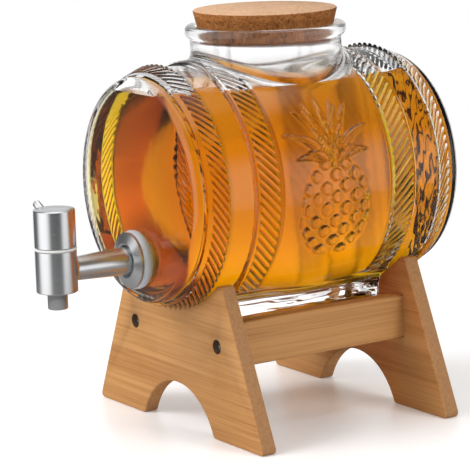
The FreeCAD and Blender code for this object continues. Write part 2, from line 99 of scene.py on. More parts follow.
class BarrelSizes(bpy.types.PropertyGroup):
    """Sizes of the glass barrel."""

    middle: length("Middle", (glass_low.y + glass_high.y) / 2, "Place of the middle along Y")
    half_length: length("Half length", (glass_high.y - glass_low.y) / 2, "Half of the length")
    axis_height: length("Axis height", 0.152, "Height of the barrel's axis above the floor")
    belly_radius: length("Belly radius", glass_high.x, "Radius at the middle of the belly")
    belly_edge: length("Belly edge radius", 0.0753, "Radius at the ends of the belly")
    belly_half: length("Belly half width", 0.042, "Half of the belly's width")
    hoop_radius: length("Hoop radius", 0.0766, "Radius of the hoops' ribs")
    inner_hoop_end: length("Inner hoop end", 0.060, "Outer end of the inner hoops")
    waist_radius: length("Waist radius", 0.074, "Radius of the plain waist on the stand")
    waist_end: length("Waist end", 0.078, "Outer end of the waist")
    outer_hoop_end: length("Outer hoop end", 0.091, "Outer end of the outer hoops")
    end_hoop_radius: length("End hoop radius", 0.0713, "Radius of the outer hoops at their end")
    end_radius: length("End radius", 0.070, "Radius of the barrel's end faces")
    end_round: length("End rounding", 0.005, "Rounding between the wall and the end faces")
    band_width: length("Band width", 0.0032, "Width of the smooth band on a hoop's outer edge")
    band_drop: length("Band drop", 0.0010, "Depth of the smooth band below the ribs")
    rib_count: IntProperty(name="Rib count", description="Slanted ribs round a hoop", default=84,
                           min=12)
    rib_depth: length("Rib depth", 0.0017, "Depth of the valleys between the ribs")
    rib_slant: angle("Rib slant", 11.0, "Turn of a rib from one edge of its hoop to the other")
    end_wall: length("End wall", 0.0045, "Glass thickness of the end faces")
    boss_radius: length("Boss radius", 0.0165, "Radius of the thicker glass round the tap's hole")
    boss_height: length("Boss height", 0.008, "Glass thickness at the tap's hole")
    inner_belly: length("Inner belly radius", 0.0738, "Radius of the hollow at the belly")
    inner_end: length("Inner end radius", 0.0665, "Radius of the hollow at its ends")
    inner_round: length("Inner rounding", 0.004, "Rounding of the hollow's ends")
    neck_radius: length("Neck radius", 0.0475, "Outer radius of the neck")
    neck_bore: length("Neck bore", 0.0433, "Inner radius of the neck")
    neck_flare: length("Neck flare", 0.007, "Width of the sweep from the belly to the neck")
    rim_radius: length("Rim radius", 0.0505, "Radius of the bead round the mouth")
    rim_height: length("Rim height", 0.0075, "Height of the bead round the mouth")
    rim_top: length("Rim top", glass_high.z, "Height of the mouth above the floor")
    foot_bottom: length("Foot bottom", glass_low.z, "Height of the glass foot's underside")
    foot_half_width: length("Foot half width", 0.038, "Half of the foot across the barrel")
    foot_half_length: length("Foot half length", 0.060, "Half of the foot along the barrel")
    foot_corner: length("Foot corner", 0.009, "Rounding of the foot's corners")
    tap_hole: length("Tap hole", 0.0082, "Radius of the hole for the tap")


class FruitSizes(bpy.types.PropertyGroup):
    """Sizes of the raised fruit on the belly."""

    along: length("Along", -0.0030, "Place of the fruit's middle along the barrel")
    up: length("Up", -0.0120, "Height of the fruit's middle round the belly")
    half_width: length("Half width", 0.0255, "Half of the fruit's width")
    half_height: length("Half height", 0.0315, "Half of the fruit's height")
    eye: length("Eye", 0.0112, "Distance from one eye of the rind to the next")
    rise: length("Rise", 0.0022, "Height of the relief above the belly")
    leaf_length: length("Leaf length", 0.046, "Length of the longest leaf")
    leaf_width: length("Leaf width", 0.0037, "Half width of the broadest leaf")


class DrinkSettings(bpy.types.PropertyGroup):
    """Level and colour of the drink."""

    level: length("Level", 0.212, "Height of the drink's surface above the floor")
    overlap: length("Overlap", 0.0002, "Reach of the drink into the glass, so that no air is left")
    tint: colour("Tint", (0.968, 0.862, 0.0), "Colour that the drink lets through")
    density: FloatProperty(name="Density", description="How strongly the drink absorbs",
                           default=75.0)
    haze: share("Haze", 0.15, "Roughness of the drink's face behind the belly")


class StandSizes(bpy.types.PropertyGroup):
    """Sizes that the bamboo's finish needs."""

    screw_side: length("Screw side", 0.0483, "Distance of the screws from the stand's middle")
    screw_height: length("Screw height", 0.0592, "Height of the screws above the floor")
    # The recesses' darkness is painted shade in the bamboo's colour
    screw_recess: length("Screw recess", 0.00456, "Radius of the drilled recesses, which are dark")


class FinishColours(bpy.types.PropertyGroup):
    """Colours of the finishes."""

    bamboo_light: colour("Bamboo light", (0.52, 0.265, 0.094), "Light bamboo fibre")
    bamboo_dark: colour("Bamboo dark", (0.335, 0.142, 0.038), "Dark bamboo fibre")
    bamboo_end: colour("Bamboo end", (0.35, 0.178, 0.075), "Cut ends of the fibres")
    cork_light: colour("Cork light", (0.46, 0.185, 0.055), "Light cork granules")
    cork_dark: colour("Cork dark", (0.20, 0.062, 0.014), "Dark cork granules")
    # Painted light: the cork's top is coloured lighter, as where the lamps light it from above
    cork_lit_top: colour("Cork top", (0.74, 0.455, 0.275), "Sanded top of the cork")
    steel: colour("Steel", (0.64, 0.645, 0.655), "Brushed steel")
    screw_steel: colour("Screw steel", (0.20, 0.17, 0.14), "Steel of the wood screws")
    silicone: colour("Silicone", (0.47, 0.51, 0.58), "Soft washers and rings")
    plastic: colour("Plastic", (0.72, 0.72, 0.70), "Sleeve, seat and bush of the valve")


class StageSettings(bpy.types.PropertyGroup):
    """Camera and lamps."""

    camera_azimuth: angle("Camera azimuth", 57.293, "Direction of the camera round the object")
    camera_elevation: angle("Camera elevation", 10.614, "Height angle of the camera")
    camera_roll: angle("Camera roll", -1.785, "Tilt of the picture")
    camera_distance: length("Camera distance", 1.5988, "Distance from the camera to its target")
    target: FloatVectorProperty(name="Target", description="Point that the camera looks at",
                                default=(-0.00905, 0.01386, 0.11381), size=3,
                                subtype="TRANSLATION", unit="LENGTH")
    focal_pixels: FloatProperty(name="Focal length", description="Focal length in pixels",
                                default=2520.5)
    picture_width: FloatProperty(name="Picture width", description="Picture width in pixels",
                                 default=470.0)
    key: FloatProperty(name="Key lamp", description="Power of the key lamp", default=12.0,
                       unit="POWER")
    fill: FloatProperty(name="Fill lamp", description="Power of the fill lamp", default=9.0,
                        unit="POWER")
    floor_half: length("Floor half width", 0.46, "Half of the floor's width")


class DispenserSettings(bpy.types.PropertyGroup):
    """Everything that a user may change."""

    barrel: PointerProperty(type=BarrelSizes)
    fruit: PointerProperty(type=FruitSizes)
    drink: PointerProperty(type=DrinkSettings)
    stand: PointerProperty(type=StandSizes)
    finish: PointerProperty(type=FinishColours)
    stage: PointerProperty(type=StageSettings)


def settings():
    """The settings of this scene."""
    return bpy.context.scene.dispenser


def math_step(operation, reflected=False):
    """A method that adds one Math node; a reflected one puts its own socket last."""

    def step(self, *others):
        values = (*others, self) if reflected else (self, *others)
        return self.tree.node("ShaderNodeMath", {"operation": operation}, dict(enumerate(values)))

    return step


class Value:
    """A socket that plain arithmetic works on."""

    def __init__(self, tree, socket):
        self.tree = tree
        self.socket = socket

    __add__, __radd__ = math_step("ADD"), math_step("ADD", reflected=True)
    __sub__, __rsub__ = math_step("SUBTRACT"), math_step("SUBTRACT", reflected=True)
    __mul__, __rmul__ = math_step("MULTIPLY"), math_step("MULTIPLY", reflected=True)
    __truediv__, __rtruediv__ = math_step("DIVIDE"), math_step("DIVIDE", reflected=True)
    __pow__, __rpow__ = math_step("POWER"), math_step("POWER", reflected=True)
    __lt__, __gt__ = math_step("LESS_THAN"), math_step("LESS_THAN", reflected=True)
    __abs__ = math_step("ABSOLUTE")
    floor = math_step("FLOOR")
    sine = math_step("SINE")
    # Angle of the direction whose rise is this value and whose run is the other
    angle_over = math_step("ARCTAN2")

    def clamped(self):
        """Held between 0 and 1."""
        return self.tree.node("ShaderNodeClamp", {}, {0: self})

    def between(self, low, high):
        """0 at low and 1 at high, with a smooth step between them."""
        kind = {"interpolation_type": "SMOOTHSTEP"}
        return self.tree.node("ShaderNodeMapRange", kind, {0: self, 1: low, 2: high})


class Tree:
    """Adds nodes to a node tree and links them."""

    def __init__(self, nodes_tree):
        self.nodes_tree = nodes_tree

    def node(self, kind, options, values, output=0):
        """One node: its options are set first, then the values or links of its inputs."""
        made = self.nodes_tree.nodes.new(kind)
        for name, option in options.items():
            setattr(made, name, option)
        self.fill(made, values)
        return Value(self, made.outputs[output])

    def finish(self, kind, values):
        """The node that ends the tree."""
        self.fill(self.nodes_tree.nodes.new(kind), values)

    def fill(self, made, values):
        """Gives a node's inputs their values or links."""
        for place, value in values.items():
            socket = made.inputs[place]
            if isinstance(value, Value):
                self.nodes_tree.links.new(value.socket, socket)
            elif hasattr(socket.default_value, "__len__") and len(socket.default_value) == 4:
                socket.default_value = tuple(value)[:3] + (1.0,)
            else:
                socket.default_value = value

    def coordinates(self, name):
        return self.node("ShaderNodeTexCoord", {}, {}, name)

    def ray(self, name):
        """1 for rays of one kind."""
        return self.node("ShaderNodeLightPath", {}, {}, f"Is {name} Ray")

    def stretched(self, place, scale):
        """A place, stretched along each axis."""
        return self.node("ShaderNodeMapping", {}, {"Vector": place, "Scale": scale})

    def object_place(self, scale=white):
        """Object coordinates, stretched along each axis."""
        return self.stretched(self.coordinates("Object"), scale)

    def axis(self, vector, name):
        """One part of a vector."""
        return self.node("ShaderNodeSeparateXYZ", {}, {0: vector}, name)

    def axes(self, vector):
        """The three parts of a vector."""
        return [self.axis(vector, name) for name in "XYZ"]

    def noise(self, place, scale, detail=3.0, roughness=0.55):
        values = {"Vector": place, "Scale": scale, "Detail": detail, "Roughness": roughness}
        return self.node("ShaderNodeTexNoise", {}, values)

    def blend(self, amount, first, second):
        """Mix of two colours."""
        kind = {"data_type": "RGBA"}
        return self.node("ShaderNodeMix", kind, {0: amount, 6: first, 7: second}, 2)

    def bump(self, height, strength, distance):
        values = {"Height": height, "Strength": strength, "Distance": distance}
        return self.node("ShaderNodeBump", {}, values)

    def principled(self, values):
        return self.node("ShaderNodeBsdfPrincipled", {}, values, "BSDF")

    def lamp_light_through(self, surface, tint):
        """Lets lamps shine through: rays towards a lamp pass straight on."""
        clear = self.node("ShaderNodeBsdfTransparent", {}, {"Color": tint}, "BSDF")
        ends = {0: self.ray("Shadow"), 1: surface, 2: clear}
        return self.node("ShaderNodeMixShader", {}, ends, "Shader")


def finished_material(name, fill):
    """A material whose shaders come from a function that fills its tree."""
    material = bpy.data.materials.new(name)
    material.use_nodes = True
    material.node_tree.nodes.clear()
    tree = Tree(material.node_tree)
    tree.finish("ShaderNodeOutputMaterial", fill(tree))
    return material


def shade(base, factor):
    """A colour made darker or lighter."""
    return [min(1.0, part * factor) for part in base]


def glass_material(name, tint):
    """Pressed clear glass with a faint waviness; the tint is that of its mirror image.

    Its neck is a little frosted and its foot is streaked. Painted shade darkens it in its grooves
    and on steep relief.
    """
    neck_edge, neck_base = (0.066 ** 2, 0.055 ** 2), (0.205, 0.216)
    foot_top, foot_end = (0.0835, 0.0800), (0.064, 0.060)
    streak_scale, streak_height = (22.0, 22.0, 110.0), 8.0
    painted_shade_colour = (0.05, 0.035, 0.02)

    def fill(tree):
        place = tree.object_place()
        wave = tree.noise(place, 38.0, 2.0)
        grain = tree.noise(place, 420.0, 2.0)
        streak = tree.noise(tree.object_place(streak_scale), 1.0, 1.5)
        painted_groove_shade = tree.node("ShaderNodeAttribute", {"attribute_name": "painted_groove_shade"}, {}, "Fac")
        x, y, z = tree.axes(place)
        y = y - settings().barrel.middle
        neck = (x * x + y * y).between(*neck_edge) * z.between(*neck_base)
        foot = z.between(*foot_top) * abs(y).between(*foot_end)
        surface = tree.principled({
            # Painted shade: the colour turns dark brown where the point's mark is high, in rib
            # valleys, at hoop edges and on relief slopes
            "Base Color": tree.blend(painted_groove_shade * 0.95, white, painted_shade_colour),
            "Roughness": grain * 0.012 + neck * 0.11,
            "IOR": 1.5,
            "Specular IOR Level": 0.35,
            "Specular Tint": tint,
            "Transmission Weight": 1.0,
            "Normal": tree.bump(wave + streak * foot * streak_height, 0.35, 0.0007),
        })
        return {"Surface": tree.lamp_light_through(surface, (0.9, 0.9, 0.9))}

    return finished_material(name, fill)


def drink_material():
    """Amber drink that takes its colour from its depth."""
    drink = settings().drink
    belly_fade = (0.062, 0.044)

    def fill(tree):
        place = tree.object_place()
        ripple = tree.noise(place, 60.0, 1.0)
        from_middle = abs(tree.axis(place, "Y") - settings().barrel.middle)
        surface = tree.principled({
            "Base Color": white,
            "Roughness": from_middle.between(*belly_fade) * drink.haze + ripple * 0.02,
            "IOR": 1.33,
            "Specular Tint": black,
            "Transmission Weight": 1.0,
            "Normal": tree.bump(ripple, 0.05, 0.0004),
        })
        values = {"Color": drink.tint, "Density": drink.density}
        depth = tree.node("ShaderNodeVolumeAbsorption", {}, values, "Volume")
        return {"Surface": tree.lamp_light_through(surface, (0.9, 0.85, 0.75)), "Volume": depth}

    return finished_material("amber_drink", fill)


def steel_material(name, base, roughness):
    """Brushed steel: fine turned lines across the pieces' height."""

    def fill(tree):
        lines = tree.noise(tree.object_place((60.0, 60.0, 4200.0)), 1.0, 3.0)
        smudge = tree.noise(tree.object_place(), 95.0, 3.0)
        return {"Surface": tree.principled({
            "Base Color": tree.blend(smudge, shade(base, 0.93), base),
            "Metallic": 1.0,
            "Roughness": roughness + lines * 0.10,
            "Normal": tree.bump(lines, 0.12, 0.00004),
        })}

    return finished_material(name, fill)


def soft_material(name, base, roughness, blur):
    """Milky silicone or plastic with a faint mottle."""

    def fill(tree):
        mottle = tree.noise(tree.object_place(), 160.0, 2.0)
        return {"Surface": tree.principled({
            "Base Color": tree.blend(mottle, shade(base, 0.94), base),
            "Roughness": roughness + mottle * 0.08,
            "Subsurface Weight": blur,
            "Subsurface Radius": (0.6, 0.7, 0.9),
            "Subsurface Scale": 0.004,
            "Normal": tree.bump(mottle, 0.05, 0.0002),
        })}

    return finished_material(name, fill)


def bamboo_material(name, along):
    """Laminated bamboo whose fibres run along X or Y, with painted shade in the screw recesses."""
    finish, stand = settings().finish, settings().stand
    fine_scale = {"X": (9.0, 620.0, 620.0), "Y": (620.0, 9.0, 620.0)}[along]
    broad_scale = {"X": (3.0, 90.0, 90.0), "Y": (90.0, 3.0, 90.0)}[along]
    strip_height = 0.0195
    end_facing = (0.75, 0.93)

    def fill(tree):
        place = tree.coordinates("Object")
        strip = (tree.axis(place, "Z") / strip_height).floor()
        tone = tree.node("ShaderNodeTexWhiteNoise", {"noise_dimensions": "1D"}, {"W": strip})
        shift = tree.node("ShaderNodeCombineXYZ", {}, {0: tone * 3.0, 1: tone * 3.0, 2: tone})
        moved = tree.node("ShaderNodeVectorMath", {"operation": "ADD"}, {0: place, 1: shift})
        fine = tree.noise(tree.stretched(moved, fine_scale), 1.0, 4.0, 0.65)
        broad = tree.noise(tree.stretched(moved, broad_scale), 1.0, 3.0)
        fibre = (fine - 0.5) * 2.1 + (broad - 0.5) * 1.1 + (tone - 0.5) * 0.35 + 0.62
        face = tree.blend(fibre.clamped(), finish.bamboo_dark, finish.bamboo_light)
        end = abs(tree.axis(tree.coordinates("Normal"), along)).between(*end_facing)
        speck = tree.blend(fine.between(0.35, 0.65), shade(finish.bamboo_end, 0.94),
                           shade(finish.bamboo_end, 1.16))
        across = abs(tree.axis(place, "X")) - stand.screw_side
        height = tree.axis(place, "Z") - stand.screw_height
        # Painted shade: the walls of the screw recesses are coloured near black, as shade inside
        # the holes
        drilled = (across * across + height * height) < stand.screw_recess ** 2
        wood = tree.blend(end, face, speck)
        return {"Surface": tree.principled({
            "Base Color": tree.blend(drilled, wood, shade(finish.bamboo_end, 0.16)),
            "Roughness": 0.62 - fine * 0.16,
            "Specular IOR Level": 0.3,
            "Normal": tree.bump(fine, 0.25, 0.00025),
        })}

    return finished_material(name, fill)


def cork_material():
    """Pressed cork: granules of many tones with dark flecks and small pits, and painted light on
    its top.
    """
    finish = settings().finish
    granules = 620.0
    bend = (0.0009, 0.0009, 0.0009)
    upward_facing = (0.55, 0.9)

    def fill(tree):
        place = tree.object_place()
        values = {"Vector": place, "Scale": 520.0, "Detail": 2.0}
        warp = tree.node("ShaderNodeTexNoise", {}, values, "Color")
        bent = tree.node("ShaderNodeVectorMath", {"operation": "MULTIPLY_ADD"},
                         {0: warp, 1: bend, 2: place})
        values = {"Vector": bent, "Scale": granules}
        grains = tree.node("ShaderNodeTexVoronoi", {}, values, "Color")
        cracks = tree.node("ShaderNodeTexVoronoi", {"feature": "DISTANCE_TO_EDGE"}, values)
        grain_tone = tree.axis(grains, "X")
        patch = tree.noise(place, 75.0, 3.0)
        flecks = tree.noise(place, 640.0, 3.0, 0.7).between(0.54, 0.64)
        tone = grain_tone * 0.55 + patch * 0.75 - 0.12
        side = tree.blend(tone.clamped(), finish.cork_dark, finish.cork_light)
        # Painted light: faces that look upward get a much lighter colour and fewer dark flecks, as
        # if lit from above
        upward = tree.axis(tree.coordinates("Normal"), "Z").between(*upward_facing)
        painted_lit_top = tree.blend(tone.clamped(), shade(finish.cork_lit_top, 0.72), finish.cork_lit_top)
        light = tree.blend(upward, side, painted_lit_top)
        gap = 1.0 - cracks.between(0.0, 0.09)
        dark = ((gap * 0.45 + flecks * 0.75) * (1.0 - upward * 0.55)).clamped()
        return {"Surface": tree.principled({
            "Base Color": tree.blend(dark, light, shade(finish.cork_dark, 0.42)),
            "Roughness": 0.78 + grain_tone * 0.15,
            "Specular IOR Level": 0.2,
            "Normal": tree.bump(1.0 - dark, 0.5, 0.0005),
        })}

    return finished_material("pressed_cork", fill)


def linked(name, data):
    """New object in the scene."""
    made = bpy.data.objects.new(name, data)
    bpy.context.scene.collection.objects.link(made)
    return made


@contextmanager
def edited(mesh):
    """Lets bmesh work on a mesh."""
    shape = bmesh.new()
    shape.from_mesh(mesh)
    yield shape
    shape.to_mesh(mesh)
    shape.free()


class Skin:
    """Rings of points and the faces between them."""

    def __init__(self):
        self.points = []
        self.faces = []

    def ring(self, points):
        """Adds points and returns their numbers."""
        start = len(self.points)
        self.points += [tuple(p) for p in points]
        return list(range(start, len(self.points)))

    def band(self, first, second):
        """Four-sided faces between two rings of as many points."""
        for k in range(len(first)):
            after = (k + 1) % len(first)
            self.faces.append((first[k], first[after], second[after], second[k]))

    def zipped(self, first, first_angles, second, second_angles):
        """Triangles between two rings with unlike points, matched by their angles."""
        offsets = np.mod(second_angles - first_angles[0] + math.pi, full_turn) - math.pi
        start = int(np.argmin(abs(offsets)))
        base = first_angles[0] + offsets[start]
        turned = np.roll(second_angles, -start)
        ahead = np.mod(turned - second_angles[start], full_turn) + base
        far_angles = np.append(ahead, base + full_turn)
        near_angles = np.append(first_angles, first_angles[0] + full_turn)
        far = second[start:] + second[:start]
        near_count, far_count = len(first), len(second)
        i = j = 0
        while i < near_count or j < far_count:
            corner, opposite = first[i % near_count], far[j % far_count]
            far_done = j == far_count
            if i < near_count and (far_done or near_angles[i + 1] <= far_angles[j + 1]):
                i += 1
                self.faces.append((corner, first[i % near_count], opposite))
            else:
                j += 1
                self.faces.append((corner, far[j % far_count], opposite))

    def fan(self, ring, middle):
        """Triangles from a ring to one point."""
        tip = self.ring([middle])[0]
        for k in range(len(ring)):
            self.faces.append((ring[k], ring[(k + 1) % len(ring)], tip))

    def build(self, name):
        """Object of the skin, with its faces turned outwards."""
        mesh = bpy.data.meshes.new(name)
        mesh.from_pydata(self.points, [], self.faces)
        with edited(mesh) as shape:
            bmesh.ops.recalc_face_normals(shape, faces=shape.faces)
        return linked(name, mesh)


def closed_shape(name, rings, first_middle, last_middle):
    """Closed shape of rings of as many points, with a fan at each end."""
    skin = Skin()
    numbers = [skin.ring(ring) for ring in rings]
    for first, second in zip(numbers, numbers[1:]):
        skin.band(first, second)
    skin.fan(numbers[0], first_middle)
    skin.fan(numbers[-1], last_middle)
    return skin.build(name)


def turned_block(name, rows, columns, ring_at):
    """Closed shape turned from (place, radius) rows."""
    rings = [ring_at(even_angles(columns), place, radius) for place, radius in rows]
    middles = [ring_at(even_angles(1), rows[end][0], 0.0)[0] for end in (0, -1)]
    return closed_shape(name, rings, *middles)


def even_angles(count):
    return np.arange(count) * full_turn / count


def lying_ring(angles, along, radius):
    """Points round the barrel's axis at a place along it."""
    barrel = settings().barrel
    radii = np.broadcast_to(radius, angles.shape)
    x = radii * np.cos(angles)
    z = barrel.axis_height + radii * np.sin(angles)
    return np.stack([x, np.full(angles.shape, barrel.middle + along), z], axis=1)


def upright_ring(angles, height, radius):
    """Points round the neck's axis."""
    radii = np.broadcast_to(radius, angles.shape)
    heights = np.broadcast_to(height, angles.shape)
    y = settings().barrel.middle + radii * np.sin(angles)
    return np.stack([radii * np.cos(angles), y, heights], axis=1)


def tap_ring(angles, depth, radius):
    """Points round the tap's hole, at a depth behind the front face."""
    barrel = settings().barrel
    x = washer_middle.x + radius * np.cos(angles)
    z = washer_middle.z + radius * np.sin(angles)
    return np.stack([x, np.full(angles.shape, barrel.middle - barrel.half_length + depth), z],
                    axis=1)


def quarter_arc(steps):
    """Pairs (sine, cosine) over a quarter turn."""
    turns = [quarter_turn * k / steps for k in range(steps + 1)]
    return [(math.sin(turn), math.cos(turn)) for turn in turns]


def evaluated(target, name):
    """Plain mesh object of what an object's modifiers make; the first object goes."""
    bpy.context.view_layer.update()
    graph = bpy.context.evaluated_depsgraph_get()
    mesh = bpy.data.meshes.new_from_object(target.evaluated_get(graph))
    target.modifiers.clear()
    bpy.data.objects.remove(target)
    return linked(name, mesh)


def joined(target, tool, operation):
    """Union or difference of two closed shapes."""
    step = target.modifiers.new("join", "BOOLEAN")
    step.operation = operation
    step.solver = "MANIFOLD"
    step.object = tool
    made = evaluated(target, target.name + "_made")
    bpy.data.objects.remove(tool)
    if not made.data.polygons:
        raise RuntimeError(f"{made.name} came out empty")
    return made


def smooth(target, degrees):
    """Smooth shading, with edges sharper than an angle left crisp."""
    target.data.shade_smooth()
    target.data.set_sharp_from_angle(angle=math.radians(degrees))


def placed(piece, name, body, replaced, material):
    """Names a finished piece, gives it its material and ties it to the frame."""
    piece.name = name
    piece.data.name = name
    piece.data.materials.clear()
    piece.data.materials.append(material)
    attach(piece, body)
    if replaced:
        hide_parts(*replaced)


def crown_at(along):
    """Radius of the belly's crown."""
    barrel = settings().barrel
    drop = barrel.belly_radius - barrel.belly_edge
    return barrel.belly_radius - drop * (along / barrel.belly_half) ** 2


def belly_radius_at(along):
    """Radius of the belly's crown, or of the hoops beyond it."""
    barrel = settings().barrel
    crown = np.maximum(crown_at(along), barrel.hoop_radius)
    return np.where(abs(along) < barrel.belly_half, crown, barrel.hoop_radius)


def leaf_height(u, v, root, tip, half_width, bend):
    """Height of one leaf along a bent line from root to tip, and where it covers the belly.

    The leaf has a raised rim, a sunk middle and a vein.
    """
    rim_width, vein_width = 0.0011, 0.0007
    chord = tip - root
    reach = math.hypot(*chord)
    cosine, sine = chord / reach
    along = ((u - root[0]) * cosine + (v - root[1]) * sine) / reach
    inside = np.clip(along, 0.0, 1.0)
    across = -(u - root[0]) * sine + (v - root[1]) * cosine - bend * 4 * inside * (1 - inside)
    width = half_width * 1.75 * inside ** 0.4 * (1 - inside) ** 0.6
    depth = (width - abs(across)) / rim_width
    rim = np.clip(depth, 0.0, 1.0)
    sunk = np.clip(depth - 1.1, 0.0, 1.0) * 0.42
    vein = np.clip(1 - abs(across) / vein_width, 0.0, 1.0) * 0.25 * np.clip(depth - 1.6, 0.0, 1.0)
    inner = (along > 0) & (along < 1)
    return np.where(inner, rim * (3 - 2 * rim) * rim - sunk + vein, 0.0), inner & (rim > 0.01)


def scattered(first, second, which):
    """Fixed number from -1 to 1 for each cell of a lattice."""
    mixed = np.sin(first * 12.9898 + second * 78.233 + which * 37.719) * 43758.5453
    return 2 * (mixed - np.floor(mixed)) - 1


def rind_height(x, y):
    """Raised eyes of the rind: uneven rounded pads in slanting rows, each with a nub."""
    fruit = settings().fruit
    first = (x * 0.92 + y * 0.80) / fruit.eye
    second = (-x * 0.92 + y * 0.80) / fruit.eye
    i, j = np.floor(first), np.floor(second)
    a = first - i - 0.5 + 0.06 * scattered(i, j, 1)
    b = second - j - 0.5 + 0.06 * scattered(i, j, 2)
    size = 0.40 + 0.035 * scattered(i, j, 3)
    squareness = 2.6
    reach = (abs(a) ** squareness + abs(b) ** squareness) ** (1 / squareness) / size
    pad = np.clip((1 - reach) / 0.30, 0.0, 1.0)
    dish = np.clip(1 - reach / 0.55, 0.0, 1.0)
    nub = np.clip(1 - reach / 0.22, 0.0, 1.0)
    rise = 0.70 + 0.18 * scattered(i, j, 4)
    return 0.12 + rise * pad * (2 - pad) - 0.26 * dish + 0.34 * nub


def fruit_height(u, v):
    """Relief of a pineapple, up to about 1: a rind of raised eyes under a fan of leaves."""
    fruit = settings().fruit
    x = (u - fruit.along) / fruit.half_width
    y = (v - fruit.up) / fruit.half_height
    taper = 1.0 - 0.10 * y
    inside = 1 - abs(x / taper) ** 2.3 - abs(y) ** 2.5
    body = np.clip(inside / 0.09, 0.0, 1.0)
    bulge = np.arcsin(np.clip(x * 0.93, -1, 1)) * fruit.half_width * 0.86
    rind = body * rind_height(bulge, v - fruit.up)
    leaves = np.zeros_like(rind)
    root = np.array([fruit.along, fruit.up + fruit.half_height * 0.80])
    # Tiers from the back to the front: leaves, spread in degrees, length, breadth and rise
    tiers = ((5, 27.0, 1.00, 0.9, 0.62), (4, 52.0, 0.92, 1.05, 0.74), (2, 74.0, 0.68, 0.95, 0.86),
             (3, 24.0, 0.66, 0.95, 0.92), (4, 58.0, 0.52, 0.95, 1.0), (2, 9.0, 0.36, 0.9, 1.05))
    for count, spread, reach, breadth, rise in tiers:
        for k in range(count):
            lean = math.radians(spread * (2 * k / (count - 1) - 1) - 2.0)
            stretch = fruit.leaf_length * reach * (1 - 0.10 * abs(math.sin(lean)))
            tip = root + stretch * np.array([math.sin(lean), math.cos(lean)])
            bend = 0.16 * stretch * math.sin(lean)
            leaf, covered = leaf_height(u, v, root, tip, fruit.leaf_width * breadth, bend)
            leaves = np.where(covered, np.maximum(leaf * rise, leaves * 0.35), leaves)
    return np.maximum(rind, leaves)


def hoop_rows(inside, outside, inside_radius, outside_radius, foot_radius, rows):
    """Rows of one hoop: (place, radius, kind, share of the width).

    The ribs run out at a steep shoulder on the inside, and end at a smooth rounded band on the
    outside.
    """
    barrel = settings().barrel
    band = barrel.band_width
    shoulder, band_start = 0.0004, 0.0003

    def radius_at(place):
        portion = (place - inside) / (outside - inside)
        return inside_radius + (outside_radius - inside_radius) * portion

    made = [(inside, foot_radius, "plain", 0.0)]
    for k in range(rows + 1):
        portion = k / rows
        place = inside + shoulder + (outside - band - inside - shoulder) * portion
        made.append((place, radius_at(place), "rib", portion))
    for sine, cosine in quarter_arc(6):
        place = outside - band + band_start + (band - band_start) * sine
        drop = (1 - cosine) * (radius_at(outside) - barrel.waist_radius + barrel.band_drop)
        radius = radius_at(place) - barrel.band_drop * 0.4 - max(drop, 0.0)
        made.append((place, radius, "plain", 0.0))
    return made


def wall_rows():
    """Rows of the barrel's outer wall from its middle to one end."""
    barrel = settings().barrel
    fine_step, fine_end = 0.0007, 0.034
    edge_round = 0.0012
    belly_end, hoop_end = barrel.belly_half, barrel.inner_hoop_end
    belly_steps = (0.036, 0.0385, belly_end - edge_round)
    waist_steps = (0.0003, 0.004, 0.009, 0.014, 0.0177)
    count = round(fine_end / fine_step)
    rows = [(fine_end * k / count, None, "belly", 0.0) for k in range(count + 1)]
    rows += [(place, None, "belly", 0.0) for place in belly_steps]
    rows.append((belly_end - edge_round * 0.4, barrel.belly_edge - edge_round * 0.35, "plain", 0.0))
    rows.append((belly_end, barrel.belly_edge - edge_round, "plain", 0.0))
    rows += hoop_rows(belly_end + 0.0002, hoop_end, barrel.hoop_radius, barrel.hoop_radius,
                      barrel.belly_edge - edge_round * 1.5, 12)
    rows += [(hoop_end + step, barrel.waist_radius, "plain", 0.0) for step in waist_steps]
    rows += hoop_rows(barrel.waist_end, barrel.outer_hoop_end, barrel.hoop_radius,
                      barrel.end_hoop_radius, barrel.waist_radius, 10)
    rows.append((barrel.outer_hoop_end + 0.0003, barrel.end_radius - 0.0002, "plain", 0.0))
    for sine, cosine in quarter_arc(6):
        place = barrel.half_length - barrel.end_round * (1 - sine)
        rows.append((place, barrel.end_radius - barrel.end_round * (1 - cosine), "plain", 0.0))
    return rows


def wall_columns():
    """Angles of the wall's points, closer together where the fruit is."""
    fine_start, fine_end = math.radians(-41.0), math.radians(50.0)
    fine = np.arange(fine_start, fine_end, math.radians(0.52))
    coarse = np.linspace(fine_end, fine_start + full_turn, 136)[:-1]
    return np.concatenate([fine, coarse])


